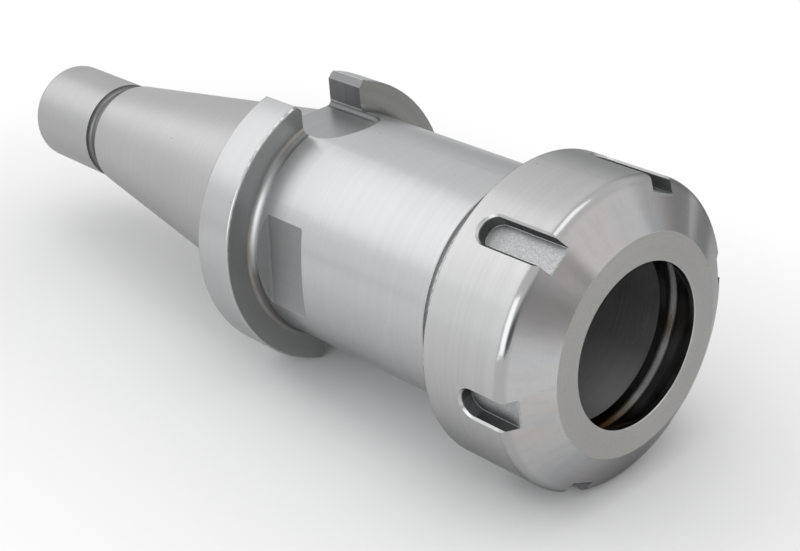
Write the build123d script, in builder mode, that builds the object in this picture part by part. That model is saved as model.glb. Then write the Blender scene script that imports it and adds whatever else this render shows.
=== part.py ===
# Collet chuck with a size 40 steep taper shank, and its clamping nut.
#
# Frame: X is the chuck's axis and points towards the nut, Z is up, and the origin is the
# centre of the gauge circle, where the 7:24 taper is 44.45 mm across. The chuck lies with
# one drive slot down, so it rests on that slot's two edges and on the rim of the nut.

import os
from math import radians, sqrt, tan

from build123d import *

# Taper shank, with the pilot and the relief groove stepped down from the taper's small end
gauge_diameter = 44.45
taper_ratio = 7 / 24
taper_length = 65.4
shank_length = 93.4
pilot_step = 0.69
pilot_end_rounding = 1.5
relief_width = 4.8
relief_depth = 1.2
relief_corner = 0.8

# Drawbar hole, drawn at the root of its 5/8-11 thread, with a 60 degree centre at its mouth
drawbar_thread_diameter = 15.875
drawbar_hole_depth = 43.0
centre_step = 1.0
centre_half_angle = 30.0

# Flange, its collar on the taper side, and the two drive slots
collar_length = 1.6
flange_diameter = 63.0
flange_thickness = 10.0
flange_edge_rounding = 0.5
drive_slot_width = 16.1
drive_slot_floor = 22.5
drive_slot_runout = 11.2
drive_slot_corner = 1.1
drive_slot_chamfer = 1.8

# Body and its two wrench flats
body_diameter = 50.0
body_length = 52.0
body_root_radius = 1.5
body_edge_rounding = 0.2
across_flats = 45.7
flat_turn = 3.0
flat_offset = 3.5
flat_width = 11.1
flat_end_slant = 40.0
flat_corner = 0.8

# Neck and nose, with the nose drawn at the root of its M50 x 1.5 thread
neck_diameter = 47.2
neck_length = 4.3
neck_corner = 0.5
nose_length = 21.3
nose_root_diameter = 48.18
nose_chamfer = 0.8

# Collet socket and the clearance bore behind it
socket_mouth_diameter = 41.0
socket_half_angle = 8.0
socket_depth = 40.0
socket_chamfer = 0.5
clearance_bore_diameter = 30.5
clearance_bore_length = 19.0
drill_point_half_angle = 59.0

# Clamping nut: the outside, the front bore and the seat for the collet's head
nut_diameter = 63.0
nut_length = 25.0
nut_rear_rounding = 0.3
nut_face_diameter = 44.6
nut_bevel_length = 5.5
nut_shoulder_radius = 2.0
nut_face_edge = 0.15
nut_bore_diameter = 33.2
nut_bore_length = 1.2
nut_bore_edge = 0.25
collet_seat_half_angle = 30.0
collet_seat_length = 5.8

# Clamping nut: the groove for the collet's head, the lip that draws it out, and the thread
head_groove_diameter = 40.6
head_groove_width = 1.1
lip_bore_diameter = 36.4
lip_offset = 0.6
lip_offset_turn = 247.0
lip_width = 1.6
thread_relief_diameter = 50.6
thread_relief_width = 2.2
thread_clearance = 0.10
nut_mouth_chamfer = 0.8
nut_gap = 0.7

# Spanner slots in the nut, an opposite pair of them shorter than the rest
spanner_slots = 6
short_slots = (1, 4)
spanner_slot_width = 6.0
spanner_slot_depth = 3.0
spanner_slot_length = 21.2
short_slot_length = 15.6
spanner_slot_corner = 0.2
spanner_slot_chamfer = 0.5
spanner_slot_turn = 36.0

# Places along the axis
pilot_front = -taper_length - relief_width
flange_front = collar_length + flange_thickness
shoulder = flange_front + body_length
neck_end = shoulder + neck_length
nose_face = shoulder + nose_length
lip_depth = nut_bore_length + collet_seat_length + head_groove_width
nut_front = nose_face + nut_gap + lip_width + lip_depth
nut_rear = nut_front - nut_length

# Radii that follow from the sizes above
gauge_radius = gauge_diameter / 2
taper_small_radius = (gauge_diameter - taper_length * taper_ratio) / 2
pilot_radius = taper_small_radius - pilot_step
relief_radius = pilot_radius - relief_depth
nose_radius = nose_root_diameter / 2
nut_radius = nut_diameter / 2
nut_thread_radius = nose_radius + thread_clearance
seat_radius = nut_bore_diameter / 2 + collet_seat_length * tan(radians(collet_seat_half_angle))

# Room by which each cutter passes the surface that it opens
overcut = 2.0


def turned_outline(corners):
    """Closed outline of a turned form, from its (x, radius, rounding) corners in order."""
    points = [(x, radius) for x, radius, rounding in corners]
    roundings = [rounding for x, radius, rounding in corners]
    FilletPolyline(*points, radius=roundings, close=True)


# Drive slot cutter: a round-ended pocket, flared where it breaks out of the flange's rim
slot_back = collar_length - overcut
slot_end_centre = flange_front + drive_slot_runout - drive_slot_width / 2
slot_top = flange_diameter / 2 + overcut
flare_start = sqrt(flange_diameter**2 - drive_slot_width**2) / 2 - drive_slot_chamfer
flare_half_width = drive_slot_width / 2 + slot_top - flare_start

with BuildPart() as drive_slot_cutter:
    with BuildSketch(Plane.XY.offset(drive_slot_floor)):
        with Locations(((slot_back + slot_end_centre) / 2, 0)):
            Rectangle(slot_end_centre - slot_back, drive_slot_width)
        with Locations((slot_end_centre, 0)):
            Circle(drive_slot_width / 2)
    extrude(amount=slot_top - drive_slot_floor)
    fillet(edges().group_by(Axis.Z)[0].sort_by(Axis.X)[1:], drive_slot_corner)
    with BuildSketch(Plane.YZ.offset(slot_back)):
        with BuildLine():
            Polyline(
                (-drive_slot_width / 2, flare_start),
                (drive_slot_width / 2, flare_start),
                (flare_half_width, slot_top),
                (-flare_half_width, slot_top),
                close=True,
            )
        make_face()
    extrude(amount=flange_front + overcut - slot_back)

# Wrench flat cutter: a slab with slanted ends, rounded at its foot
flat_foot = flange_front + flat_offset
flat_rise = (body_diameter - across_flats) / 2 + overcut
flat_top = across_flats / 2 + flat_rise
flat_run = flat_rise * tan(radians(flat_end_slant))

with BuildPart() as wrench_flat_cutter:
    with BuildSketch(Plane.XZ):
        with BuildLine():
            turned_outline([
                (flat_foot, across_flats / 2, flat_corner),
                (flat_foot + flat_width, across_flats / 2, flat_corner),
                (flat_foot + flat_width + flat_run, flat_top, 0),
                (flat_foot - flat_run, flat_top, 0),
            ])
        make_face()
    extrude(amount=body_diameter / 2, both=True)

# Holder body, in one piece from the pilot to the threaded nose
socket_end = nose_face - socket_depth
socket_mouth = socket_mouth_diameter / 2
socket_end_radius = socket_mouth - socket_depth * tan(radians(socket_half_angle))
clearance_radius = clearance_bore_diameter / 2
clearance_end = socket_end - clearance_bore_length
drill_point_slope = tan(radians(drill_point_half_angle))
drawbar_radius = drawbar_thread_diameter / 2
centre_radius = drawbar_radius + centre_step
centre_depth = centre_step / tan(radians(centre_half_angle))
drawbar_end = drawbar_hole_depth - shank_length

with BuildPart() as holder_body:
    # The turned outside
    with BuildSketch(Plane.XZ):
        with BuildLine():
            turned_outline([
                (-shank_length, 0, 0),
                (-shank_length, pilot_radius, pilot_end_rounding),
                (pilot_front, pilot_radius, 0),
                (pilot_front, relief_radius, relief_corner),
                (-taper_length, relief_radius, relief_corner),
                (-taper_length, taper_small_radius, 0),
                (0, gauge_radius, 0),
                (collar_length, gauge_radius, 0),
                (collar_length, flange_diameter / 2, flange_edge_rounding),
                (flange_front, flange_diameter / 2, flange_edge_rounding),
                (flange_front, body_diameter / 2, body_root_radius),
                (shoulder, body_diameter / 2, body_edge_rounding),
                (shoulder, neck_diameter / 2, neck_corner),
                (neck_end, neck_diameter / 2, 0),
                (neck_end + nose_radius - neck_diameter / 2, nose_radius, 0),
                (nose_face - nose_chamfer, nose_radius, 0),
                (nose_face, nose_radius - nose_chamfer, 0),
                (nose_face, 0, 0),
            ])
        make_face()
    revolve(axis=Axis.X)
    # The collet socket, the clearance bore and its drill point
    with BuildSketch(Plane.XZ):
        with BuildLine():
            turned_outline([
                (nose_face, 0, 0),
                (nose_face, socket_mouth + socket_chamfer, 0),
                (nose_face - socket_chamfer, socket_mouth, 0),
                (socket_end, socket_end_radius, 0),
                (socket_end, clearance_radius, 0),
                (clearance_end, clearance_radius, 0),
                (clearance_end - clearance_radius / drill_point_slope, 0, 0),
            ])
        make_face()
    revolve(axis=Axis.X, mode=Mode.SUBTRACT)
    # The drawbar hole
    with BuildSketch(Plane.XZ):
        with BuildLine():
            turned_outline([
                (-shank_length, 0, 0),
                (-shank_length, centre_radius, 0),
                (-shank_length + centre_depth, drawbar_radius, 0),
                (drawbar_end, drawbar_radius, 0),
                (drawbar_end + drawbar_radius / drill_point_slope, 0, 0),
            ])
        make_face()
    revolve(axis=Axis.X, mode=Mode.SUBTRACT)
    # The drive slots, above and below, and the wrench flats at the sides
    for turn in (0, 180):
        add(drive_slot_cutter.part, rotation=(turn, 0, 0), mode=Mode.SUBTRACT)
        add(wrench_flat_cutter.part, rotation=(turn + 90 - flat_turn, 0, 0), mode=Mode.SUBTRACT)

# Spanner slot cutters: round at the rear, open at the front, flared at the nut's rim
slot_floor = nut_radius - spanner_slot_depth
slot_half_width = spanner_slot_width / 2
slot_front = nut_front + overcut
rim_height = sqrt(nut_radius**2 - slot_half_width**2) - spanner_slot_chamfer


def spanner_slot_outline(length):
    """Outline of a slot that reaches this far back from the nut's front face."""
    rear_centre = nut_front - length + slot_half_width
    with Locations(((rear_centre + slot_front) / 2, 0)):
        Rectangle(slot_front - rear_centre, spanner_slot_width)
    with Locations((rear_centre, 0)):
        Circle(slot_half_width)


def spanner_slot_cutter(length):
    """Cutter for a slot of this length, for the slot at the top of the nut."""
    with BuildPart() as cutter:
        with BuildSketch(Plane.XY.offset(slot_floor)):
            spanner_slot_outline(length)
        extrude(amount=spanner_slot_depth + overcut)
        fillet(edges().group_by(Axis.Z)[0].sort_by(Axis.X)[:-1], spanner_slot_corner)
        with BuildSketch(Plane.XY.offset(rim_height)):
            spanner_slot_outline(length)
        extrude(amount=nut_radius + spanner_slot_chamfer - rim_height, taper=-45)
    return cutter.part


long_slot = spanner_slot_cutter(spanner_slot_length)
short_slot = spanner_slot_cutter(short_slot_length)

# Clamping nut, in one piece
groove_start = nut_front - nut_bore_length - collet_seat_length
lip_start = nut_front - lip_depth
lip_end = lip_start - lip_width
lip_inner_radius = lip_bore_diameter / 2 - lip_offset
relief_end = lip_end - thread_relief_width

with BuildPart() as clamping_nut:
    with BuildSketch(Plane.XZ):
        with BuildLine():
            turned_outline([
                (nut_rear, nut_thread_radius + nut_mouth_chamfer, 0),
                (nut_rear, nut_radius, nut_rear_rounding),
                (nut_front - nut_bevel_length, nut_radius, nut_shoulder_radius),
                (nut_front, nut_face_diameter / 2, nut_face_edge),
                (nut_front, nut_bore_diameter / 2, nut_bore_edge),
                (nut_front - nut_bore_length, nut_bore_diameter / 2, 0),
                (groove_start, seat_radius, 0),
                (groove_start, head_groove_diameter / 2, 0),
                (lip_start, head_groove_diameter / 2, 0),
                (lip_start, lip_inner_radius, 0),
                (lip_end, lip_inner_radius, 0),
                (lip_end, thread_relief_diameter / 2, 0),
                (relief_end, thread_relief_diameter / 2, 0),
                (relief_end, nut_thread_radius, 0),
                (nut_rear + nut_mouth_chamfer, nut_thread_radius, 0),
            ])
        make_face()
    revolve(axis=Axis.X)
    # The bore of the lip is off centre, so the lip is deep on one side and shallow on the other
    with BuildSketch(Plane.YZ.offset(lip_start)):
        with PolarLocations(lip_offset, 1, start_angle=lip_offset_turn):
            Circle(lip_bore_diameter / 2)
    extrude(amount=-lip_width, mode=Mode.SUBTRACT)
    for index in range(spanner_slots):
        turn = spanner_slot_turn + index * 360 / spanner_slots
        slot = short_slot if index in short_slots else long_slot
        add(slot, rotation=(turn, 0, 0), mode=Mode.SUBTRACT)

os.makedirs("parts", exist_ok=True)
holder_body.part.label = "holder_body"
clamping_nut.part.label = "clamping_nut"
export_step(holder_body.part, "parts/holder_body.step")
export_step(clamping_nut.part, "parts/clamping_nut.step")
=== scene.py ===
# Collet chuck with a size 40 steep taper shank: its finishes, threads, light and camera.
#
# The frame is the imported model's own: metres, X along the chuck's axis towards the nut,
# Z up, origin at the centre of the gauge circle. Finishes are laid out in millimetres,
# by place along the axis and distance from it, as on a turner's drawing.

from math import cos, pi, radians, sin

import bpy
from mathutils import Matrix, Vector


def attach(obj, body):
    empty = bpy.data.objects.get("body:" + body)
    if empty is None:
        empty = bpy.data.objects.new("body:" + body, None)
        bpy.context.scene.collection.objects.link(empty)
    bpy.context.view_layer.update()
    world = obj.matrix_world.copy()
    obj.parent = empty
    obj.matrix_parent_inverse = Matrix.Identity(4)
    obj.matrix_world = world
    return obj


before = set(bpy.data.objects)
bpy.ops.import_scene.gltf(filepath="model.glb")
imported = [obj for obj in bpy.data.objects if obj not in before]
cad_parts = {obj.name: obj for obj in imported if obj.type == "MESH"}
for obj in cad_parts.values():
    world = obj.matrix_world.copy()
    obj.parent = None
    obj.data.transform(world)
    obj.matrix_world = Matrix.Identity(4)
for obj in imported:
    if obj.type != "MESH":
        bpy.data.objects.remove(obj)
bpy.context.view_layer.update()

MM = 0.001
INCH = 25.4

# Sizes of the chuck and places on it in millimetres, worked out from its CAD source
PILOT_END = -93.4
PILOT_FRONT = -70.2
TAPER_START = -65.4
FLANGE_FRONT = 11.6
FLANGE_RADIUS = 31.5
SLOT_FLOOR = 22.5
SLOT_HALF_WIDTH = 8.05
SLOT_END = 22.8
SLOT_RIM_FOOT = 28.3
BODY_RADIUS = 25.0
FLAT_START = 13.1
FLAT_FOOT = 15.1
FLAT_END = 28.2
SHOULDER = 63.6
NECK_END = 67.9
NOSE_ROOT = 24.09
NOSE_FACE = 84.9
NUT_REAR = 70.3
NUT_REAR_ROUNDING = 0.3
NUT_FRONT = 95.3
NUT_RADIUS = 31.5
BEVEL_START = 89.8
FACE_RADIUS = 22.3
BORE_RADIUS = 16.6
HEAD_GROOVE = 87.5
HEAD_GROOVE_RADIUS = 20.3
SPANNER_SLOTS = 6
SPANNER_SLOT_TURN = 36.0
SPANNER_SLOT_FLOOR = 28.5
SPANNER_SLOT_HALF_WIDTH = 3.0
SPANNER_SLOT_REAR = 74.1

# A limit that no measure on the chuck or round it reaches
BEYOND = 1000.0


# Node helpers

def plug(tree, socket, source):
    """Feeds a socket from another node's output, or sets it to a plain value."""
    if isinstance(source, bpy.types.NodeSocket):
        tree.links.new(source, socket)
    else:
        socket.default_value = source


def reckon(tree, operation, *terms, clamp=False):
    """The result of one Math node, held between 0 and 1 where clamp is set."""
    node = tree.nodes.new("ShaderNodeMath")
    node.operation = operation
    node.use_clamp = clamp
    for socket, term in zip(node.inputs, terms):
        plug(tree, socket, term)
    return node.outputs[0]


def plus(tree, first, second):
    """The sum of two numbers."""
    return reckon(tree, "ADD", first, second)


def minus(tree, first, second):
    """The first number less the second."""
    return reckon(tree, "SUBTRACT", first, second)


def times(tree, first, second):
    """The product of two numbers."""
    return reckon(tree, "MULTIPLY", first, second)


def over(tree, first, second):
    """The first number divided by the second."""
    return reckon(tree, "DIVIDE", first, second)


def length_of(tree, across, upward):
    """The length of a line that goes so far across and so far up."""
    return reckon(tree, "SQRT", plus(tree, times(tree, across, across), times(tree, upward, upward)))


def mix_values(tree, share, first, second):
    """A number that goes from first to second as share goes from 0 to 1."""
    node = tree.nodes.new("ShaderNodeMix")
    node.data_type = "FLOAT"
    for name, source in (("Factor", share), ("A", first), ("B", second)):
        plug(tree, node.inputs[name], source)
    return node.outputs["Result"]


def mix_colours(tree, share, first, second, way="MIX"):
    """A colour that goes from first to second as share goes from 0 to 1."""
    node = tree.nodes.new("ShaderNodeMix")
    node.data_type = "RGBA"
    node.blend_type = way
    plug(tree, node.inputs["Factor"], share)
    plug(tree, next(s for s in node.inputs if s.name == "A" and s.type == "RGBA"), first)
    plug(tree, next(s for s in node.inputs if s.name == "B" and s.type == "RGBA"), second)
    return next(s for s in node.outputs if s.type == "RGBA")


def noise(tree, point, scale, detail=2.0, roughness=0.5, dimensions="3D"):
    """The value of a noise texture."""
    node = tree.nodes.new("ShaderNodeTexNoise")
    node.noise_dimensions = dimensions
    plug(tree, node.inputs["Vector"], point)
    plug(tree, node.inputs["Scale"], scale)
    node.inputs["Detail"].default_value = detail
    node.inputs["Roughness"].default_value = roughness
    return node.outputs["Fac"]


def vector_of(tree, x, y, z=0.0):
    """A vector from three numbers."""
    node = tree.nodes.new("ShaderNodeCombineXYZ")
    for socket, source in zip(node.inputs, (x, y, z)):
        plug(tree, socket, source)
    return node.outputs[0]


def parts_of(tree, vector):
    """The three numbers of a vector."""
    node = tree.nodes.new("ShaderNodeSeparateXYZ")
    plug(tree, node.inputs[0], vector)
    return node.outputs


def own_point(tree):
    """The shaded point, in the object's own coordinates."""
    return tree.nodes.new("ShaderNodeTexCoord").outputs["Object"]


def grey(level, tint=(1.0, 1.0, 1.0)):
    """A plain colour of that level, leaning to a tint."""
    return (level * tint[0], level * tint[1], level * tint[2], 1.0)


NUMBER, COLOUR, VECTOR = "NodeSocketFloat", "NodeSocketColor", "NodeSocketVector"


def shared_group(name, inputs, outputs):
    """A new node group with these sockets, and its input and output nodes."""
    tree = bpy.data.node_groups.new(name, "ShaderNodeTree")
    for label, kind in inputs:
        tree.interface.new_socket(name=label, in_out="INPUT", socket_type=kind)
    for label, kind in outputs:
        tree.interface.new_socket(name=label, in_out="OUTPUT", socket_type=kind)
    return tree, tree.nodes.new("NodeGroupInput").outputs, tree.nodes.new("NodeGroupOutput").inputs


def use(tree, group, **sources):
    """Places a shared group in a tree, with its inputs fed by name, and returns its outputs."""
    node = tree.nodes.new("ShaderNodeGroup")
    node.node_tree = group
    for name, source in sources.items():
        plug(tree, node.inputs[name.replace("_", " ")], source)
    return node.outputs


# Shared effects

def make_places():
    """Where a point lies on the chuck, in millimetres along and from its axis."""
    tree, given, result = shared_group(
        "Places on the chuck",
        [("Point", VECTOR)],
        [("Along", NUMBER), ("Radius", NUMBER), ("Turn", NUMBER), ("Side", NUMBER),
         ("Height", NUMBER), ("Tool path", NUMBER), ("Around", NUMBER)],
    )
    x, y, z = parts_of(tree, given["Point"])
    along = over(tree, x, MM)
    side = over(tree, y, MM)
    height = over(tree, z, MM)
    radius = length_of(tree, side, height)
    turn = reckon(tree, "ARCTAN2", height, side)
    half_turn = reckon(tree, "SINE", times(tree, turn, 0.5))
    plug(tree, result["Along"], along)
    plug(tree, result["Radius"], radius)
    plug(tree, result["Turn"], turn)
    plug(tree, result["Side"], side)
    plug(tree, result["Height"], height)
    plug(tree, result["Tool path"], minus(tree, along, radius))
    plug(tree, result["Around"], times(tree, half_turn, radius))
    return tree


def make_band():
    """1 where a number lies between two limits, with soft ends."""
    tree, given, result = shared_group(
        "Band",
        [("Value", NUMBER), ("From", NUMBER), ("To", NUMBER), ("Softness", NUMBER)],
        [("Mask", NUMBER)],
    )
    past_start = minus(tree, given["Value"], given["From"])
    before_end = minus(tree, given["To"], given["Value"])
    nearer = reckon(tree, "MINIMUM", past_start, before_end)
    share = over(tree, nearer, given["Softness"])
    plug(tree, result["Mask"], reckon(tree, "ADD", share, 0.5, clamp=True))
    return tree


def make_edge_line():
    """1 along a turned edge, which is one circle round the axis."""
    tree, given, result = shared_group(
        "Edge line",
        [("Along", NUMBER), ("Radius", NUMBER), ("Edge along", NUMBER), ("Edge radius", NUMBER),
         ("Width", NUMBER)],
        [("Mask", NUMBER)],
    )
    run = minus(tree, given["Along"], given["Edge along"])
    rise = minus(tree, given["Radius"], given["Edge radius"])
    share = over(tree, length_of(tree, run, rise), given["Width"])
    plug(tree, result["Mask"], reckon(tree, "SUBTRACT", 1.0, share, clamp=True))
    return tree


def make_spanner_slot_places():
    """How far a point lies from the middle plane of the nearest of the nut's slots, and from its floor."""
    tree, given, result = shared_group(
        "Spanner slot places",
        [("Turn", NUMBER), ("Radius", NUMBER)],
        [("Off centre", NUMBER), ("Above axis", NUMBER)],
    )
    step = 2 * pi / SPANNER_SLOTS
    first = pi / 2 + radians(SPANNER_SLOT_TURN)
    shifted = minus(tree, given["Turn"], first - step / 2)
    wrapped = reckon(tree, "FLOORED_MODULO", shifted, step)
    angle = minus(tree, wrapped, step / 2)
    plug(tree, result["Off centre"], times(tree, reckon(tree, "SINE", angle), given["Radius"]))
    plug(tree, result["Above axis"], times(tree, reckon(tree, "COSINE", angle), given["Radius"]))
    return tree


CLOUDS_PER_METRE = 45.0
GRAINS_PER_METRE = 2600.0
MARK_STRETCH = 0.02
BROAD_MARK_SHARE = 0.13
BROAD_MARK_LAYER = 4.0
FINE_MARK_HEIGHT = 0.6
BROAD_MARK_HEIGHT = 1.6
GRAIN_HEIGHT = 6.0


def make_machined_finish():
    """The colour, roughness and tool marks of a machined steel surface.

    Across is the distance at right angles to the tool marks and Along marks the distance
    along them, both in millimetres.
    """
    tree, given, result = shared_group(
        "Machined finish",
        [("Point", VECTOR), ("Across", NUMBER), ("Along marks", NUMBER), ("Colour", COLOUR),
         ("Roughness", NUMBER), ("Pitch", NUMBER), ("Depth", NUMBER), ("Streaks", NUMBER),
         ("Clouds", NUMBER), ("Grain", NUMBER)],
        [("Colour", COLOUR), ("Roughness", NUMBER), ("Height", NUMBER)],
    )

    def uneven(pattern, amount):
        """How far a pattern lifts or lowers the surface's level, for that amount of it."""
        return times(tree, minus(tree, pattern, 0.5), given[amount])

    across = over(tree, given["Across"], given["Pitch"])
    along = times(tree, given["Along marks"], MARK_STRETCH)
    flat_point = vector_of(tree, across, along)
    fine_marks = noise(tree, flat_point, scale=1.0, detail=3.0, roughness=0.6, dimensions="2D")
    broad_across = times(tree, across, BROAD_MARK_SHARE)
    broad_marks = noise(tree, vector_of(tree, broad_across, along, BROAD_MARK_LAYER), scale=1.0)
    clouds = noise(tree, given["Point"], CLOUDS_PER_METRE, detail=3.0, roughness=0.6)
    grain = noise(tree, given["Point"], GRAINS_PER_METRE, roughness=0.6)

    marks_shift = plus(tree, uneven(broad_marks, "Streaks"), uneven(fine_marks, "Streaks"))
    spots_shift = plus(tree, uneven(clouds, "Clouds"), uneven(grain, "Grain"))
    shift = plus(tree, marks_shift, spots_shift)
    level = plus(tree, shift, 1.0)
    shade = vector_of(tree, level, level, level)
    plug(tree, result["Colour"], mix_colours(tree, 1.0, given["Colour"], shade, "MULTIPLY"))
    plug(tree, result["Roughness"], times(tree, minus(tree, 1.0, shift), given["Roughness"]))

    fine_height = times(tree, fine_marks, FINE_MARK_HEIGHT)
    broad_height = times(tree, broad_marks, BROAD_MARK_HEIGHT)
    mark_height = times(tree, plus(tree, fine_height, broad_height), given["Depth"])
    grain_height = times(tree, times(tree, grain, given["Grain"]), GRAIN_HEIGHT)
    plug(tree, result["Height"], plus(tree, mark_height, grain_height))
    return tree


def make_lay_over():
    """One finish laid over another where a mask says."""
    tree, given, result = shared_group(
        "Lay over",
        [("Colour", COLOUR), ("Roughness", NUMBER), ("Height", NUMBER), ("Top colour", COLOUR),
         ("Top roughness", NUMBER), ("Top height", NUMBER), ("Mask", NUMBER)],
        [("Colour", COLOUR), ("Roughness", NUMBER), ("Height", NUMBER)],
    )
    mask = given["Mask"]
    plug(tree, result["Colour"], mix_colours(tree, mask, given["Colour"], given["Top colour"]))
    plug(tree, result["Roughness"], mix_values(tree, mask, given["Roughness"], given["Top roughness"]))
    plug(tree, result["Height"], mix_values(tree, mask, given["Height"], given["Top height"]))
    return tree


OIL_PATCHES_PER_METRE = 90.0
OIL_LEVEL = 0.42
OIL_EDGE_STEEPNESS = 5.0


def make_oil_film():
    """Where a thin film of oil has gathered, in soft patches."""
    tree, given, result = shared_group(
        "Oil film",
        [("Point", VECTOR), ("Amount", NUMBER)],
        [("Mask", NUMBER)],
    )
    patches = noise(tree, given["Point"], OIL_PATCHES_PER_METRE, detail=3.0, roughness=0.55)
    thickness = reckon(tree, "MULTIPLY", minus(tree, patches, OIL_LEVEL), OIL_EDGE_STEEPNESS, clamp=True)
    plug(tree, result["Mask"], times(tree, thickness, given["Amount"]))
    return tree


SPECK_SIZE = 0.055
EMPTY_CELLS = 0.62


def make_specks():
    """Sparse tiny dark specks, as of dust or pores."""
    tree, given, result = shared_group(
        "Specks",
        [("Point", VECTOR), ("Per metre", NUMBER)],
        [("Mask", NUMBER)],
    )
    cells = tree.nodes.new("ShaderNodeTexVoronoi")
    plug(tree, cells.inputs["Vector"], given["Point"])
    plug(tree, cells.inputs["Scale"], given["Per metre"])
    lot, size, _ = parts_of(tree, cells.outputs["Color"])
    near = reckon(tree, "LESS_THAN", cells.outputs["Distance"], times(tree, size, SPECK_SIZE))
    chosen = reckon(tree, "GREATER_THAN", lot, EMPTY_CELLS)
    plug(tree, result["Mask"], times(tree, near, chosen))
    return tree


PLACES = make_places()
BAND = make_band()
EDGE_LINE = make_edge_line()
SPANNER_SLOT_PLACES = make_spanner_slot_places()
MACHINED_FINISH = make_machined_finish()
LAY_OVER = make_lay_over()
OIL_FILM = make_oil_film()
SPECKS = make_specks()

FINISH_PARTS = ("Colour", "Roughness", "Height")
RAY_DRIFT = 0.01
MARK_UNIT = 1e-6
QUARTER_TURN = 0.25


def blank_material(name):
    """A new material and its empty node tree."""
    material = bpy.data.materials.new(name)
    material.use_nodes = True
    material.node_tree.nodes.clear()
    return material, material.node_tree


class Steel:
    """A steel material that is built up zone by zone from machined finishes."""

    def __init__(self, name):
        self.material, self.tree = blank_material(name)
        self.point = own_point(self.tree)
        self.places = use(self.tree, PLACES, Point=self.point)
        self.finish = None
        self.metallic = 1.0

    def place(self, value):
        """One of the places by its name, or a socket as it is."""
        return self.places[value] if isinstance(value, str) else value

    def band(self, value, start, end, softness=0.1):
        """Mask of the values from start to end; value is one of the places' names or a socket."""
        return use(self.tree, BAND, Value=self.place(value), From=start, To=end, Softness=softness)["Mask"]

    def above(self, value, start, softness=0.1):
        """Mask of the values past start."""
        return self.band(value, start, BEYOND, softness)

    def below(self, value, end, softness=0.1):
        """Mask of the values up to end."""
        return self.band(value, -BEYOND, end, softness)

    def zone(self, *masks):
        """Mask where all the given masks hold."""
        result = masks[0]
        for mask in masks[1:]:
            result = times(self.tree, result, mask)
        return result

    def edge(self, along, radius, width):
        """Mask of a turned edge."""
        return use(
            self.tree, EDGE_LINE, Along=self.places["Along"], Radius=self.places["Radius"],
            Edge_along=along, Edge_radius=radius, Width=width,
        )["Mask"]

    def lay(self, mask, colour, roughness, pitch=0.12, depth=1.0, streaks=0.12, clouds=0.1, grain=0.0,
            across="Tool path", along_marks="Around"):
        """Lays a machined finish where the mask says, over what is there."""
        top = use(
            self.tree, MACHINED_FINISH, Point=self.point, Across=self.place(across),
            Along_marks=self.place(along_marks), Colour=colour, Roughness=roughness, Pitch=pitch,
            Depth=depth, Streaks=streaks, Clouds=clouds, Grain=grain,
        )
        if self.finish is not None:
            top = use(
                self.tree, LAY_OVER, Colour=self.finish["Colour"], Roughness=self.finish["Roughness"],
                Height=self.finish["Height"], Top_colour=top["Colour"], Top_roughness=top["Roughness"],
                Top_height=top["Height"], Mask=mask,
            )
        self.finish = {part: top[part] for part in FINISH_PARTS}

    def tint(self, mask, colour):
        """Tints what is there: a film or specks on it, or a painted reflection."""
        self.finish["Colour"] = mix_colours(self.tree, mask, self.finish["Colour"], colour, "MULTIPLY")

    def stain(self, mask, colour, amount):
        """Lets a film gather in soft patches where the mask says."""
        film = use(self.tree, OIL_FILM, Point=self.point, Amount=amount)["Mask"]
        self.tint(self.zone(film, mask), colour)

    def rays(self, fineness, start):
        """Mask of soft rays that run outward from the axis."""
        side_share = over(self.tree, self.places["Side"], self.places["Radius"])
        height_share = over(self.tree, self.places["Height"], self.places["Radius"])
        drift = times(self.tree, self.places["Tool path"], RAY_DRIFT)
        pattern = noise(self.tree, vector_of(self.tree, side_share, height_share, drift), fineness)
        return self.above(pattern, start, softness=0.16)

    def specks(self, per_metre, colour):
        """Scatters tiny dark specks."""
        self.tint(use(self.tree, SPECKS, Point=self.point, Per_metre=per_metre)["Mask"], colour)

    def done(self, anisotropy, grazing_level):
        """Joins the finish to the shader and returns the material."""
        bump = self.tree.nodes.new("ShaderNodeBump")
        bump.inputs["Strength"].default_value = 1.0
        bump.inputs["Distance"].default_value = MARK_UNIT
        plug(self.tree, bump.inputs["Height"], self.finish["Height"])
        tangent = self.tree.nodes.new("ShaderNodeTangent")
        tangent.direction_type = "RADIAL"
        tangent.axis = "X"
        shader = self.tree.nodes.new("ShaderNodeBsdfPrincipled")
        plug(self.tree, shader.inputs["Metallic"], self.metallic)
        shader.inputs["Specular Tint"].default_value = grey(grazing_level)
        shader.inputs["Anisotropic"].default_value = anisotropy
        shader.inputs["Anisotropic Rotation"].default_value = QUARTER_TURN
        plug(self.tree, shader.inputs["Base Color"], self.finish["Colour"])
        plug(self.tree, shader.inputs["Roughness"], self.finish["Roughness"])
        plug(self.tree, shader.inputs["Normal"], bump.outputs["Normal"])
        plug(self.tree, shader.inputs["Tangent"], tangent.outputs["Tangent"])
        show_surface(self.tree, shader.outputs["BSDF"])
        return self.material


def show_surface(tree, shader, kind="ShaderNodeOutputMaterial"):
    """Joins a shader to its tree's output."""
    plug(tree, tree.nodes.new(kind).inputs["Surface"], shader)


# Tints and films, with the pink and blue of the painted reflection rays
WARM = (1.0, 0.985, 0.945)
COOL = (0.975, 0.99, 1.0)
FAINT_OLIVE = (1.0, 1.0, 0.95)
VIOLET = (0.88, 0.85, 1.0)
OIL = (0.62, 0.50, 0.33, 1.0)
SPECK = (0.42, 0.40, 0.38, 1.0)
PINK = (1.0, 0.945, 0.93, 1.0)
BLUE = (0.93, 0.97, 1.0, 1.0)

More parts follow.
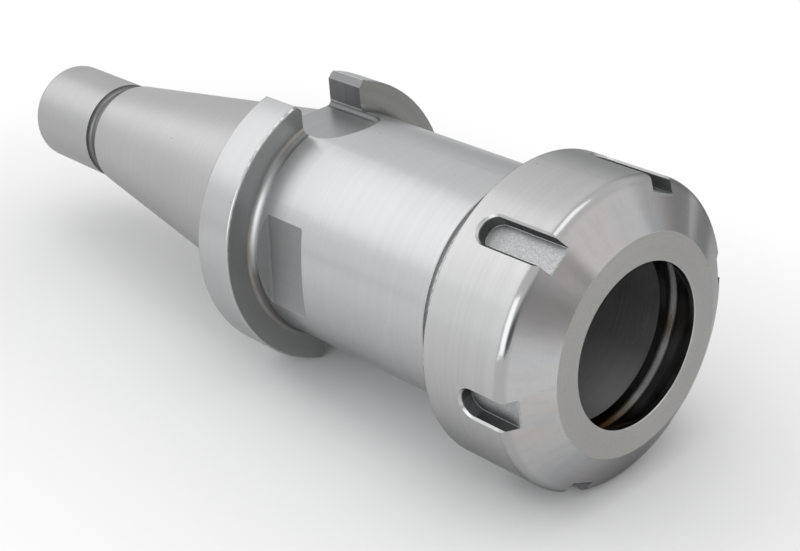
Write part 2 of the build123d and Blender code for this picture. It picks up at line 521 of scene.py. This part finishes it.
# Tool marks: pitch in millimetres, depth in microns, how uneven they are and which way they run
GROUND = dict(pitch=0.16, depth=0.8, streaks=0.10, clouds=0.08)
FINE_GROUND = dict(pitch=0.10, depth=0.7, streaks=0.08)
ROUGH_TURNED = dict(pitch=0.3, depth=1.6)
DULL_TURNED = dict(pitch=0.3, depth=1.0)
CORNER_TURNED = dict(pitch=0.2, depth=0.8)
FACE_TURNED = dict(pitch=0.22, depth=1.2, streaks=0.14)
FACE_TURNED_ROUGHER = dict(pitch=0.22, depth=1.4, streaks=0.14, clouds=0.2, grain=0.2)
SOCKET_GROUND = dict(pitch=0.12, depth=0.4)
SOCKET_GROUND_LOW = dict(pitch=0.12, depth=0.7)
SLOT_MILLED = dict(pitch=0.35, depth=1.4, streaks=0.16, clouds=0.16, across="Along", along_marks="Side")
SLOT_WALL_MILLED = dict(pitch=0.35, depth=1.6, streaks=0.2, clouds=0.2, across="Along", along_marks="Height")
SLOT_EDGE_MILLED = dict(pitch=0.35, depth=1.2, across="Height", along_marks="Along")
FLAT_MILLED = dict(pitch=0.4, depth=1.6, streaks=0.10, clouds=0.10, across="Height", along_marks="Along")
BROKEN_EDGE = dict(depth=0.8)
DULL_EDGE = dict(depth=0.2)
NUT_TURNED = dict(pitch=0.14, depth=0.9, streaks=0.12, clouds=0.06)
NUT_REAR_TURNED = dict(pitch=0.25, depth=1.2)
BEVEL_TURNED = dict(pitch=0.12, depth=0.4, streaks=0.06, clouds=0.03)
SHOULDER_POLISHED = dict(pitch=0.12, depth=0.3, streaks=0.05, clouds=0.03)
FACE_MATTE = dict(pitch=0.2, depth=0.6, streaks=0.06, clouds=0.06, grain=0.25)
SEAT_GROUND = dict(pitch=0.12, depth=0.5)
SPANNER_WALL_MILLED = dict(pitch=0.3, depth=2.0, streaks=0.2, clouds=0.3, grain=0.45)
SPANNER_FLOOR_MILLED = dict(pitch=0.3, depth=2.0, streaks=0.1, clouds=0.2, grain=0.75)
THREAD_CUT = dict(pitch=0.2, depth=1.0, clouds=0.12)


# Finishes of the holder body

def shank_and_body(steel):
    """The body, the flange's outside, the taper, the pilot and the relief groove."""
    steel.lay(None, grey(0.50, COOL), roughness=0.30, **GROUND)
    flange_outside = steel.zone(
        steel.band("Along", 0.0, FLANGE_FRONT), steel.above("Radius", FLANGE_RADIUS - 0.3)
    )
    steel.lay(flange_outside, grey(0.48, COOL), roughness=0.30, **GROUND)
    # Pilot and taper are ground all over to a finer satin
    steel.lay(steel.below("Along", 0.0), grey(0.455), roughness=0.36, **FINE_GROUND)
    steel.lay(steel.below("Along", PILOT_FRONT), grey(0.43), roughness=0.40, **FINE_GROUND)
    # The relief groove is left as turned
    steel.lay(steel.band("Along", PILOT_FRONT, TAPER_START), grey(0.225), roughness=0.44, **ROUGH_TURNED)


def flange_face(steel):
    """The flange's front face and the rounded corner between it and the body."""
    front_face = steel.zone(
        steel.band("Along", FLANGE_FRONT - 0.2, FLANGE_FRONT + 0.3),
        steel.band("Radius", BODY_RADIUS + 0.4, FLANGE_RADIUS - 0.3),
    )
    steel.lay(front_face, grey(0.39), roughness=0.34, **FACE_TURNED)
    far_side = steel.zone(front_face, steel.above("Side", 3.0, softness=8.0))
    steel.lay(far_side, grey(0.265, FAINT_OLIVE), roughness=0.40, **FACE_TURNED_ROUGHER)
    # The corner is rougher and painted dark as shade in the crease, and one stretch of it is painted light
    # as a highlight
    corner = steel.zone(
        steel.band("Along", FLANGE_FRONT + 0.25, FLANGE_FRONT + 1.9, softness=0.3),
        steel.band("Radius", BODY_RADIUS - 5.0, BODY_RADIUS + 1.3, softness=0.3),
    )
    painted_highlight_stretch = steel.band("Height", 1.0, 17.0, softness=8.0)
    steel.lay(corner, grey(0.19, COOL), roughness=0.50, **CORNER_TURNED)
    steel.lay(steel.zone(corner, painted_highlight_stretch), grey(0.60, COOL), roughness=0.44, **CORNER_TURNED)


def drive_slots(steel):
    """The two drive slots: floors, feet of the walls, chamfers and walls."""
    tree = steel.tree
    side = reckon(tree, "ABSOLUTE", steel.places["Side"])
    height = reckon(tree, "ABSOLUTE", steel.places["Height"])
    on_body = steel.band("Radius", BODY_RADIUS - 0.15, BODY_RADIUS + 0.15, softness=0.02)
    slots = steel.zone(
        steel.below(side, SLOT_HALF_WIDTH + 0.05, softness=0.02),
        steel.above(height, SLOT_FLOOR - 0.3, softness=0.02),
        steel.band("Along", -1.0, SLOT_END + 0.1, softness=0.02),
        minus(tree, 1.0, on_body),
    )
    feet = steel.zone(
        slots, steel.above(side, SLOT_HALF_WIDTH - 1.25, softness=0.25),
        steel.below(height, SLOT_FLOOR + 1.2, softness=0.2),
    )
    painted_shade_rims = steel.zone(
        steel.band(side, SLOT_HALF_WIDTH + 0.03, SLOT_HALF_WIDTH + 2.0, softness=0.03),
        steel.above(height, SLOT_RIM_FOOT),
        steel.band("Along", 0.0, FLANGE_FRONT - 0.05, softness=0.05),
        steel.below("Radius", FLANGE_RADIUS - 0.06, softness=0.05),
    )
    walls = steel.zone(slots, steel.above(height, SLOT_FLOOR + 0.9, softness=0.4))
    # The feet of the walls, the chamfers and the walls are painted darker than the floors, as shade in the
    # slots and to dim the highlights on their edges
    steel.lay(slots, grey(0.39, COOL), roughness=0.38, **SLOT_MILLED)
    steel.lay(feet, grey(0.19, COOL), roughness=0.50, **SLOT_EDGE_MILLED)
    steel.lay(painted_shade_rims, grey(0.24, COOL), roughness=0.46, **SLOT_EDGE_MILLED)
    steel.lay(walls, grey(0.20, COOL), roughness=0.46, **SLOT_WALL_MILLED)


def wrench_flats(steel):
    """The two wrench flats, milled across, with their slanted ends painted darker as shade."""
    side = reckon(steel.tree, "ABSOLUTE", steel.places["Side"])
    flats = steel.zone(
        steel.band("Along", FLAT_START - 0.05, FLAT_END + 0.05, softness=0.05),
        steel.below("Radius", BODY_RADIUS - 0.03, softness=0.03),
        steel.band(side, BODY_RADIUS - 5.0, BODY_RADIUS),
    )
    painted_shade_slanted_end = steel.band("Along", FLAT_START - 0.1, FLAT_FOOT + 0.2, softness=0.3)
    steel.lay(flats, grey(0.325, COOL), roughness=0.42, **FLAT_MILLED)
    # The slanted ends are painted dark as shade, which also dims the highlight on the rounding at their foot
    steel.lay(steel.zone(flats, painted_shade_slanted_end), grey(0.19, COOL), roughness=0.44, **FLAT_MILLED)


# How far from the axis the socket and the drawbar hole reach, and a place in the solid shank between them
SOCKET_REACH = 21.2
DRAWBAR_HOLE_REACH = 9.0
SOLID_SHANK = -30.0


def neck_and_shoulder(steel):
    """The neck and the nose, dull and painted dark as shade in the gap under the nut, the shoulder's face
    above them painted light, and its rounded edge.
    """
    neck = steel.zone(
        steel.above("Along", SHOULDER - 0.05),
        steel.band("Radius", SOCKET_REACH - 0.2, BODY_RADIUS - 0.05, softness=0.05),
    )
    painted_light_shoulder_face = steel.band("Along", SHOULDER - 0.3, SHOULDER + 0.25, softness=0.3)
    # The neck is painted dark as shade in the gap, and the shoulder's face is painted light
    steel.lay(neck, grey(0.19, COOL), roughness=0.78, **DULL_TURNED)
    steel.lay(steel.zone(neck, painted_light_shoulder_face), grey(0.84, COOL), roughness=0.52, **DULL_TURNED)
    rounded_edge = steel.edge(SHOULDER - 0.06, BODY_RADIUS - 0.06, width=0.3)
    steel.lay(rounded_edge, grey(0.34, COOL), roughness=0.44, **BROKEN_EDGE)


def holder_inside(steel):
    """The socket, the clearance bore and the drawbar hole."""
    inside = steel.zone(steel.above("Along", 0.0), steel.below("Radius", SOCKET_REACH, softness=0.05))
    painted_light_low_side = steel.below("Height", -15.5, softness=7.0)
    drawbar_hole = steel.zone(steel.below("Along", SOLID_SHANK), steel.below("Radius", DRAWBAR_HOLE_REACH))
    steel.lay(inside, grey(0.53), roughness=0.28, **SOCKET_GROUND)
    # The socket's low side is rougher and painted lighter, as light falling through the bore's mouth
    steel.lay(steel.zone(inside, painted_light_low_side), grey(0.76), roughness=0.50, **SOCKET_GROUND_LOW)
    steel.lay(drawbar_hole, grey(0.34, WARM), roughness=0.42, **ROUGH_TURNED)


def holder_steel():
    """Finishes of the holder body, from the pilot to the nose."""
    steel = Steel("hardened_ground_steel")
    shank_and_body(steel)
    flange_face(steel)
    drive_slots(steel)
    wrench_flats(steel)
    neck_and_shoulder(steel)
    holder_inside(steel)
    oily_corner = steel.edge(FLANGE_FRONT + 0.3, BODY_RADIUS + 0.9, width=0.9)
    steel.stain(oily_corner, OIL, amount=0.8)
    steel.specks(per_metre=260.0, colour=SPECK)
    return steel.done(anisotropy=0.5, grazing_level=0.80)


# Finishes of the clamping nut

def nut_outside(steel):
    """The nut's outside, bevel, shoulder and rear face."""
    steel.lay(None, grey(0.49), roughness=0.30, **NUT_TURNED)
    # The bevel is turned finer and nearly polished, and the shoulder is blended round
    bevel = steel.zone(
        steel.band("Along", BEVEL_START + 0.6, NUT_FRONT + 0.1, softness=0.6),
        steel.above("Radius", FACE_RADIUS),
    )
    shoulder = steel.zone(
        steel.band("Along", BEVEL_START - 1.2, BEVEL_START + 0.7, softness=0.5),
        steel.above("Radius", NUT_RADIUS - 2.0, softness=0.5),
    )
    steel.lay(bevel, grey(0.485), roughness=0.20, **BEVEL_TURNED)
    steel.lay(shoulder, grey(0.40), roughness=0.18, **SHOULDER_POLISHED)
    # The rear face is left as turned; its rounded edge is made dull and painted dark as shade in the gap
    # behind the nut
    painted_shade_rear_edge = steel.zone(
        steel.below("Along", NUT_REAR + 0.24, softness=0.12),
        steel.above("Radius", NUT_RADIUS - 0.5, softness=0.2),
    )
    steel.lay(steel.below("Along", NUT_REAR + 0.05), grey(0.66), roughness=0.50, **NUT_REAR_TURNED)
    steel.lay(painted_shade_rear_edge, grey(0.16, COOL), roughness=0.95, **DULL_EDGE)
    # Faint rays on the bevel, painted as the reflection fans of its turning: broad ones with a tint and fine
    # grey ones
    steel.tint(steel.zone(bevel, steel.rays(fineness=1.7, start=0.54)), PINK)
    steel.tint(steel.zone(bevel, steel.rays(fineness=2.3, start=0.57)), BLUE)
    steel.tint(steel.zone(bevel, steel.rays(fineness=16.0, start=0.56)), grey(0.96))


MATTE_METALLIC = 0.28


def nut_face(steel):
    """The flat face, finished matte."""
    face = steel.zone(
        steel.above("Along", NUT_FRONT - 0.12, softness=0.02),
        steel.band("Radius", BORE_RADIUS + 0.2, FACE_RADIUS),
    )
    steel.lay(face, grey(0.405, WARM), roughness=0.68, **FACE_MATTE)
    steel.metallic = mix_values(steel.tree, face, 1.0, MATTE_METALLIC)


def nut_inside(steel):
    """The front bore, the collet seat and what lies behind them, with oil at the bottom."""
    behind_face = steel.below("Along", NUT_FRONT - 0.25, softness=0.05)
    inside = steel.zone(steel.below("Radius", FACE_RADIUS - 0.3, softness=0.05), behind_face)
    # The bore and the seat are polished and painted dark, as shade inside the nut
    steel.lay(inside, grey(0.26), roughness=0.15, **SEAT_GROUND)
    # The groove's edge is painted light, as a highlight along it
    painted_highlight_groove_edge = steel.edge(HEAD_GROOVE, HEAD_GROOVE_RADIUS, width=0.42)
    steel.lay(painted_highlight_groove_edge, grey(0.68), roughness=0.34, **SEAT_GROUND)
    oily_bottom = steel.zone(
        steel.below("Radius", 21.5, softness=0.05), steel.below("Height", -4.0, softness=6.0), behind_face
    )
    steel.stain(oily_bottom, OIL, amount=0.75)
    oily_ring = steel.zone(
        steel.band("Radius", 17.6, 20.6, softness=0.2), steel.below("Height", -12.0, softness=5.0),
        steel.below("Side", 4.0, softness=8.0), behind_face,
    )
    steel.tint(oily_ring, OIL)


def spanner_slots(steel):
    """The nut's slots: coarse milled floors, and walls painted dark as shade in the slots."""
    slot = use(steel.tree, SPANNER_SLOT_PLACES, Turn=steel.places["Turn"], Radius=steel.places["Radius"])
    off_centre, above_axis = slot["Off centre"], slot["Above axis"]
    reach = SPANNER_SLOT_HALF_WIDTH + 0.02
    walls = steel.zone(
        steel.band(off_centre, -reach, reach, softness=0.02),
        steel.band(above_axis, SPANNER_SLOT_FLOOR - 0.3, NUT_RADIUS - 0.5, softness=0.05),
        steel.above("Along", SPANNER_SLOT_REAR - 0.1, softness=0.05),
        steel.below("Radius", NUT_RADIUS - 0.4),
    )
    floors = steel.zone(
        walls, steel.band(above_axis, SPANNER_SLOT_FLOOR - 0.3, SPANNER_SLOT_FLOOR + 0.03, softness=0.03)
    )
    along_the_axis = dict(across="Along", along_marks=off_centre)
    # The walls are painted dark as shade in the slots
    steel.lay(walls, grey(0.12, COOL), roughness=0.55, **SPANNER_WALL_MILLED, **along_the_axis)
    steel.lay(floors, grey(0.47, COOL), roughness=0.46, **SPANNER_FLOOR_MILLED, **along_the_axis)


def nut_steel():
    """Finishes of the clamping nut."""
    steel = Steel("turned_nut_steel")
    nut_outside(steel)
    nut_face(steel)
    nut_inside(steel)
    spanner_slots(steel)
    steel.specks(per_metre=230.0, colour=SPECK)
    return steel.done(anisotropy=0.78, grazing_level=0.50)


def thread_steel():
    """Finish of the thread ridges."""
    steel = Steel("cut_thread_steel")
    steel.lay(None, grey(0.36), roughness=0.36, **THREAD_CUT)
    return steel.done(anisotropy=0.5, grazing_level=0.80)


# Threads

LEAD_IN_TURNS = 0.6
LEAST_RISE = 0.02


def thread_ridge(name, material, start, end, pitch, root, crest, root_width, crest_width, steps):
    """One screw ridge wound from start to end, right-handed; crest may lie inside or outside root."""
    turns = (end - start) / pitch
    count = int(turns * steps)
    lead_in = steps * LEAD_IN_TURNS
    points, faces = [], []
    for index in range(count + 1):
        turn = 2 * pi * index / steps
        middle = start + pitch * index / steps
        full = min(1.0, index / lead_in, (count - index) / lead_in)
        top = root + (crest - root) * max(full, LEAST_RISE)
        section = (
            (-root_width / 2, root), (-crest_width / 2, top), (crest_width / 2, top), (root_width / 2, root)
        )
        for offset, radius in section:
            points.append(((middle + offset) * MM, radius * MM * cos(turn), radius * MM * sin(turn)))
    outward = crest > root
    for index in range(count):
        for side in range(4):
            a, b = index * 4 + side, index * 4 + (side + 1) % 4
            face = (a, b, b + 4, a + 4)
            faces.append(face if outward else face[::-1])
    first, last = (0, 3, 2, 1), tuple(count * 4 + i for i in range(4))
    faces += [first, last] if outward else [first[::-1], last[::-1]]
    mesh = bpy.data.meshes.new(name)
    mesh.from_pydata(points, [], faces)
    mesh.update()
    ridge = bpy.data.objects.new(name, mesh)
    bpy.context.scene.collection.objects.link(ridge)
    mesh.materials.append(material)
    return ridge


def nose_thread(material):
    """M50 x 1.5 thread on the nose."""
    ridge = thread_ridge(
        "nose_thread", material, start=NECK_END + 3.9, end=NOSE_FACE - 1.2, pitch=1.5,
        root=NOSE_ROOT - 0.03, crest=24.97, root_width=1.22, crest_width=0.19, steps=72,
    )
    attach(ridge, "holder")


def drawbar_thread(material):
    """5/8-11 thread in the drawbar hole."""
    ridge = thread_ridge(
        "drawbar_thread", material, start=PILOT_END + 2.2, end=-53.5, pitch=INCH / 11,
        root=7.97, crest=6.72, root_width=2.0, crest_width=0.58, steps=48,
    )
    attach(ridge, "holder")


# Floor, backdrop, light and camera, in metres

def flat_sheet(name, corners):
    """A flat sheet for the stage, from its corners in order."""
    mesh = bpy.data.meshes.new(name)
    mesh.from_pydata(corners, [], [tuple(range(len(corners)))])
    sheet = bpy.data.objects.new(name, mesh)
    bpy.context.scene.collection.objects.link(sheet)
    return sheet


def blend_shaders(tree, share, first, second):
    """A shader that goes from first to second as share goes from 0 to 1."""
    node = tree.nodes.new("ShaderNodeMixShader")
    for socket, source in zip(node.inputs, (share, first, second)):
        plug(tree, socket, source)
    return node.outputs[0]


def plain_shader(tree, kind, colour):
    """A diffuse, emission or background shader of one colour."""
    node = tree.nodes.new(kind)
    node.inputs["Color"].default_value = colour
    return node.outputs[0]


def looked_at(tree):
    """1 for rays from the camera, and for those that a polished surface mirrors or lets through."""
    light_path = tree.nodes.new("ShaderNodeLightPath")
    seen = reckon(tree, "MAXIMUM", light_path.outputs["Is Camera Ray"], light_path.outputs["Is Glossy Ray"])
    return reckon(tree, "MAXIMUM", seen, light_path.outputs["Is Transmission Ray"])


WHITE = grey(1.0)
SOFT_LIGHT = grey(0.78)
FLOOR_PAINT = grey(0.78)
FLOOR_CONTACT = Vector(((NUT_REAR + NUT_REAR_ROUNDING) * MM, 0.0, -NUT_RADIUS * MM))
FLOOR_TILT = 1.17
FLOOR_SIZE = 3.0
SHADE_HALF_LENGTH = 0.07
SHADE_REACH = 0.062
SHADE_FADE = 0.09


def floor():
    """The pale floor that the chuck lies on, on the nut's rim and the lower drive slot's edges."""
    reach = FLOOR_SIZE / 2
    corners = [(-reach, -reach, 0), (reach, -reach, 0), (reach, reach, 0), (-reach, reach, 0)]
    sheet = flat_sheet("studio_floor", corners)
    sheet.location = FLOOR_CONTACT
    sheet.rotation_euler = (0.0, radians(FLOOR_TILT), 0.0)
    material, tree = blank_material("pale_floor")
    x, y, _ = parts_of(tree, own_point(tree))
    from_middle = reckon(tree, "ABSOLUTE", plus(tree, x, SHADE_HALF_LENGTH))
    past_end = reckon(tree, "MAXIMUM", minus(tree, from_middle, SHADE_HALF_LENGTH), 0.0)
    from_chuck = length_of(tree, past_end, y)
    fade = use(tree, BAND, Value=from_chuck, From=SHADE_REACH, To=BEYOND, Softness=SHADE_FADE)["Mask"]
    paint = plain_shader(tree, "ShaderNodeBsdfDiffuse", FLOOR_PAINT)
    glow = plain_shader(tree, "ShaderNodeEmission", WHITE)
    show_surface(tree, blend_shaders(tree, times(tree, fade, looked_at(tree)), paint, glow))
    sheet.data.materials.append(material)


def studio_world():
    """White to look at and to reflect, and a soft even light on everything."""
    world = bpy.data.worlds.new("studio")
    bpy.context.scene.world = world
    world.use_nodes = True
    tree = world.node_tree
    tree.nodes.clear()
    soft = plain_shader(tree, "ShaderNodeBackground", SOFT_LIGHT)
    white = plain_shader(tree, "ShaderNodeBackground", WHITE)
    show_surface(tree, blend_shaders(tree, looked_at(tree), soft, white), "ShaderNodeOutputWorld")


def soft_lamp(name, place, target, size, watts, colour=(1.0, 1.0, 1.0)):
    """A large soft lamp at a place, turned to a target."""
    lamp = bpy.data.lights.new(name, "AREA")
    lamp.color = colour
    lamp.shape = "RECTANGLE"
    lamp.size, lamp.size_y = size
    lamp.energy = watts
    holder = bpy.data.objects.new(name, lamp)
    bpy.context.scene.collection.objects.link(holder)
    holder.location = place
    aim = Vector(target) - Vector(place)
    holder.rotation_euler = aim.to_track_quat("-Z", "Y").to_euler()


CARD_EDGE = 0.65
CARD_FADE = 0.6


def grey_card(name, place, size, level, tint=COOL):
    """A grey card that stands upright out of view, with soft edges, for bright metal to mirror."""
    half_width, half_height = size[0] / 2, size[1] / 2
    card = flat_sheet(name, [
        (-half_width, 0, -half_height), (half_width, 0, -half_height),
        (half_width, 0, half_height), (-half_width, 0, half_height),
    ])
    card.location = place
    card.rotation_euler = (0.0, 0.0, Vector((place[0], place[1], 0)).to_track_quat("Y", "Z").to_euler().z)
    for unseen in ("visible_camera", "visible_diffuse", "visible_shadow"):
        setattr(card, unseen, False)
    material, tree = blank_material(name)
    x, _, z = parts_of(tree, own_point(tree))
    from_middle = length_of(tree, over(tree, x, half_width), over(tree, z, half_height))
    inner = use(tree, BAND, Value=from_middle, From=-BEYOND, To=CARD_EDGE, Softness=CARD_FADE)["Mask"]
    clear = tree.nodes.new("ShaderNodeBsdfTransparent").outputs[0]
    shade = plain_shader(tree, "ShaderNodeEmission", grey(level, tint))
    show_surface(tree, blend_shaders(tree, inner, clear, shade))
    card.data.materials.append(material)


def studio_light():
    """The lamps, and the cards and dark things that the metal mirrors."""
    soft_lamp("softbox", place=(-0.61, -0.28, 0.60), target=(0.0, 0.0, 0.0), size=(0.85, 0.7), watts=1.3)
    soft_lamp(
        "side_softbox", place=(0.12, -0.80, 0.26), target=(0.05, 0.0, 0.02), size=(0.72, 0.56), watts=1.9,
        colour=(0.93, 0.965, 1.0),
    )
    soft_lamp("top_softbox", place=(0.15, 0.05, 0.85), target=(0.05, 0.0, 0.0), size=(0.5, 0.5), watts=0.95)
    grey_card("front_card", place=(0.58, -0.19, 0.09), size=(0.74, 0.36), level=0.32)
    grey_card("back_card", place=(-0.05, 0.52, 0.06), size=(1.50, 0.80), level=0.66)
    grey_card("side_card", place=(0.14, 0.42, 0.02), size=(0.46, 0.30), level=0.40)
    grey_card("window_bar", place=(0.62, 0.07, 0.11), size=(0.12, 0.40), level=0.12)
    grey_card("window_post", place=(0.40, 0.50, 0.15), size=(0.07, 0.36), level=0.55)
    grey_card("table_edge", place=(-0.33, -0.36, -0.014), size=(0.55, 0.028), level=0.45)
    grey_card("far_table_edge", place=(0.09, 0.13, -0.016), size=(0.30, 0.05), level=0.50)
    grey_card("door_frame", place=(0.45, -0.38, 0.04), size=(0.44, 0.34), level=0.08, tint=VIOLET)


CAMERA_PLACE = (0.27385, -0.21230, 0.15998)
CAMERA_HEADING = 139.0
CAMERA_PITCH = -27.313
CAMERA_ROLL = -4.235
CAMERA_LENS = 76.96
CAMERA_SENSOR_WIDTH = 36.0
CAMERA_NEAREST = 0.01
CAMERA_FARTHEST = 20.0


def camera():
    """The camera, fitted to the photo's edges."""
    data = bpy.data.cameras.new("photo_camera")
    data.lens = CAMERA_LENS
    data.sensor_width = CAMERA_SENSOR_WIDTH
    data.clip_start = CAMERA_NEAREST
    data.clip_end = CAMERA_FARTHEST
    holder = bpy.data.objects.new("photo_camera", data)
    bpy.context.scene.collection.objects.link(holder)
    heading, pitch = radians(CAMERA_HEADING), radians(CAMERA_PITCH)
    ahead = Vector((cos(heading) * cos(pitch), sin(heading) * cos(pitch), sin(pitch)))
    level = ahead.to_track_quat("-Z", "Y").to_matrix().to_4x4()
    roll = Matrix.Rotation(radians(CAMERA_ROLL), 4, "Z")
    holder.matrix_world = Matrix.Translation(CAMERA_PLACE) @ level @ roll
    bpy.context.scene.camera = holder


# Making the picture

for leftover in ("Cube", "Light", "Camera"):
    if leftover in bpy.data.objects:
        bpy.data.objects.remove(bpy.data.objects[leftover])

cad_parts["holder_body"].material_slots[0].material = holder_steel()
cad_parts["clamping_nut"].material_slots[0].material = nut_steel()
thread_finish = thread_steel()
nose_thread(thread_finish)
drawbar_thread(thread_finish)

floor()
studio_world()
studio_light()
camera()
bpy.context.scene.view_settings.view_transform = "Standard"
